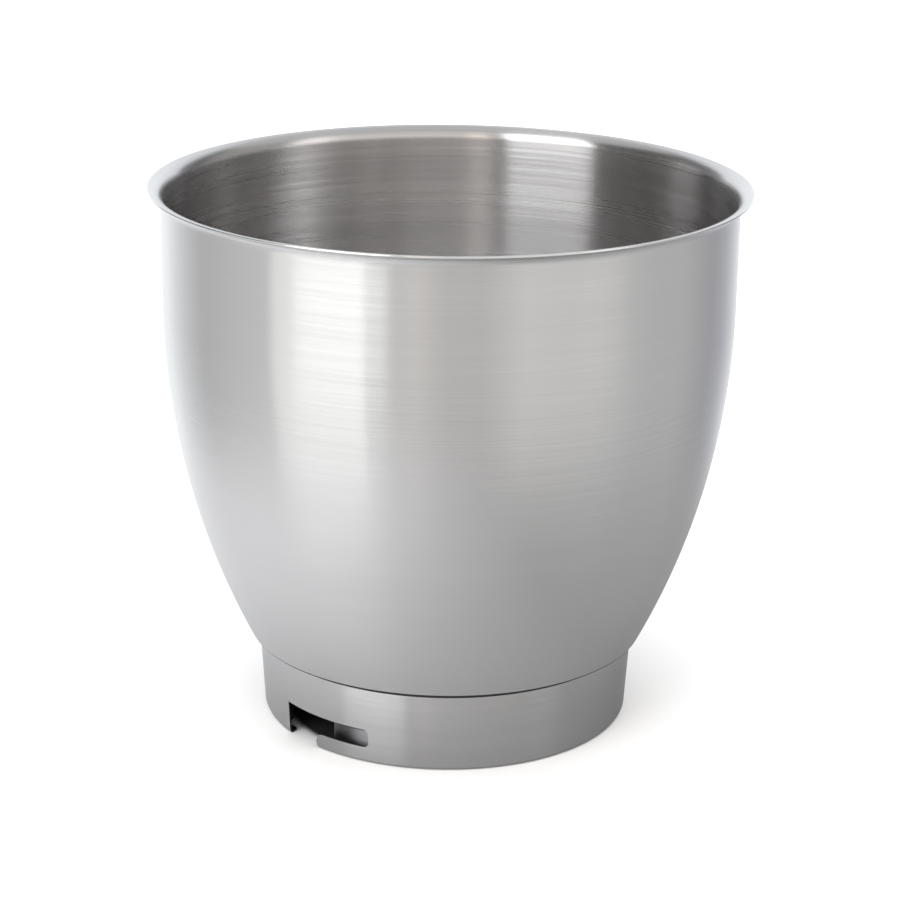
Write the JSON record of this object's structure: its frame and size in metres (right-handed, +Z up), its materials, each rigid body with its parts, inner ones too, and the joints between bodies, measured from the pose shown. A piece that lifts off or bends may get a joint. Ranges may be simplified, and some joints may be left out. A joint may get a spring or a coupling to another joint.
{
  "type": "stand mixer bowl",
  "caption": "Deep stainless steel mixing bowl with a flared open lip, on a pressed foot ring with bayonet slots that lock into a stand mixer's base.",
  "frame": {"origin": "centre of the foot ring's resting face", "axes": "+Z up along the bowl's axis; -Y towards the side whose left half shows the open end of a bayonet slot"},
  "size_m": [0.242, 0.242, 0.222],
  "materials": {
    "bowl_steel": "brushed round the bowl, finer outside than inside",
    "ring_steel": "brushed round the ring"
  },
  "bodies": {
    "root": {"bowl_shell": "bowl_steel", "foot_ring": "ring_steel"}
  },
  "joints": []
}
